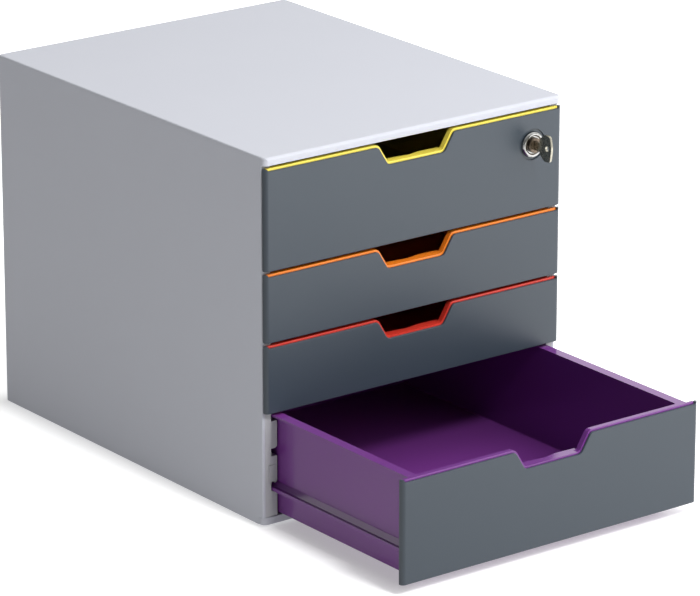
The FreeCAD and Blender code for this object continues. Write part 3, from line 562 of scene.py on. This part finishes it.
@dataclass
class StudioSky:
    """The even light from all round: white to the camera, darker behind it in mirror images."""

    zenith: float = 0.05
    horizon: float = 0.3
    horizon_fall: Span = (0.15, 0.65)
    shade: float = 0.25
    shine: float = 1.3
    shine_rise: Span = (-0.9, 0.1)

    def build(self, ahead: Triple) -> None:
        """Sets the light.

        Args:
            ahead: The level direction in which the camera looks.
        """
        world = bpy.data.worlds.new("studio_sky")
        bpy.context.scene.world = world
        world.use_nodes = True
        bench = Bench(world.node_tree)
        where = bench.node("TexCoord").outputs["Generated"]
        forward = bench.reading("VectorMath", "Value", {"operation": "DOT_PRODUCT"}, {0: where, 1: ahead})
        height = bench.reading("SeparateXYZ", "Z", inputs={"Vector": where})
        mirrored = forward.step(self.shine_rise) * (self.shine - self.shade) + self.shade
        haze = (1 - height.step(self.horizon_fall)) * self.horizon + self.zenith
        glossy = bench.ray("Glossy")
        lit = bench.node("Background", inputs={"Color": glossy * mirrored + (1 - glossy) * haze})
        white = bench.node("Background", inputs={"Color": WHITE})
        seen = (bench.ray("Camera") + bench.ray("Transmission")).clamped()
        mix = bench.node("MixShader", inputs={
            0: seen, 1: lit.outputs["Background"], 2: white.outputs["Background"]})
        bench.node("OutputWorld", inputs={"Surface": mix.outputs["Shader"]})


@dataclass
class StudioCamera:
    """The camera, at the photograph's angle."""

    eye: Triple = (-2.0410, -2.70905, 1.2694)
    yaw: float = math.radians(37.13)
    pitch: float = math.radians(18.58)
    focal_px: float = 4646.0
    photo_width_px: float = 700.0
    sensor_width_mm: float = 36.0
    sight: float = 50.0

    def ahead(self) -> Triple:
        """Gives the level direction in which the camera looks."""
        return (math.sin(self.yaw), math.cos(self.yaw), 0.0)

    def build(self) -> None:
        """Adds the camera."""
        data = bpy.data.cameras.new("studio_camera")
        data.sensor_width = self.sensor_width_mm
        data.lens = self.focal_px / self.photo_width_px * self.sensor_width_mm
        data.clip_end = self.sight
        camera = bpy.data.objects.new("studio_camera", data)
        camera.location = self.eye
        camera.rotation_euler = Euler((math.pi / 2 - self.pitch, 0.0, -self.yaw), "XYZ")
        bpy.context.scene.collection.objects.link(camera)
        bpy.context.scene.camera = camera


@dataclass(frozen=True)
class StudioLight:
    """A round lamp aimed at the foot of the box, which shows in no mirror image."""

    name: str
    source: Triple
    strength: float
    width: float

    def build(self) -> None:
        """Adds the lamp, its strength in watts a square metre at the foot of the box."""
        place = Vector(self.source)
        data = bpy.data.lights.new(self.name, "AREA")
        data.shape = "DISK"
        data.size = self.width
        data.energy = self.strength * math.pi * (place.length_squared + (self.width / 2) ** 2)
        lamp = bpy.data.objects.new(self.name, data)
        lamp.location = place
        lamp.rotation_euler = (-place).to_track_quat("-Z", "Y").to_euler()
        lamp.visible_glossy = False
        bpy.context.scene.collection.objects.link(lamp)


@dataclass
class Studio:
    """The floor, the surroundings, the lights and the camera."""

    floor: StudioFloor = field(default_factory=StudioFloor)
    sky: StudioSky = field(default_factory=StudioSky)
    camera: StudioCamera = field(default_factory=StudioCamera)
    lights: tuple[StudioLight, ...] = (
        StudioLight("key_light", (0.0, -2.0, 2.3), 1.4, 0.5),
        StudioLight("fill_light", (1.5, -1.5, 2.2), 3.7, 4.2))

    def build(self) -> None:
        """Builds the whole studio."""
        self.floor.build()
        self.sky.build(self.camera.ahead())
        for light in self.lights:
            light.build()
        self.camera.build()
        bpy.context.scene.view_settings.view_transform = "Standard"
        LOG.info("studio: floor, surroundings, %d lights and camera", len(self.lights))


def main() -> None:
    """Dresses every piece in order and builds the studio."""
    logging.basicConfig(level=logging.INFO, format="%(message)s")
    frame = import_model()
    paint = Paintbox(frame["nodes"])
    Casing().dress(paint)
    colours = (Finish.YELLOW, Finish.ORANGE, Finish.RED, Finish.PURPLE)
    for number, colour in enumerate(colours, start=1):
        Drawer(number, colour).dress(paint)
    Lock().dress(paint)
    Studio().build()


if __name__ == "__main__":
    main()
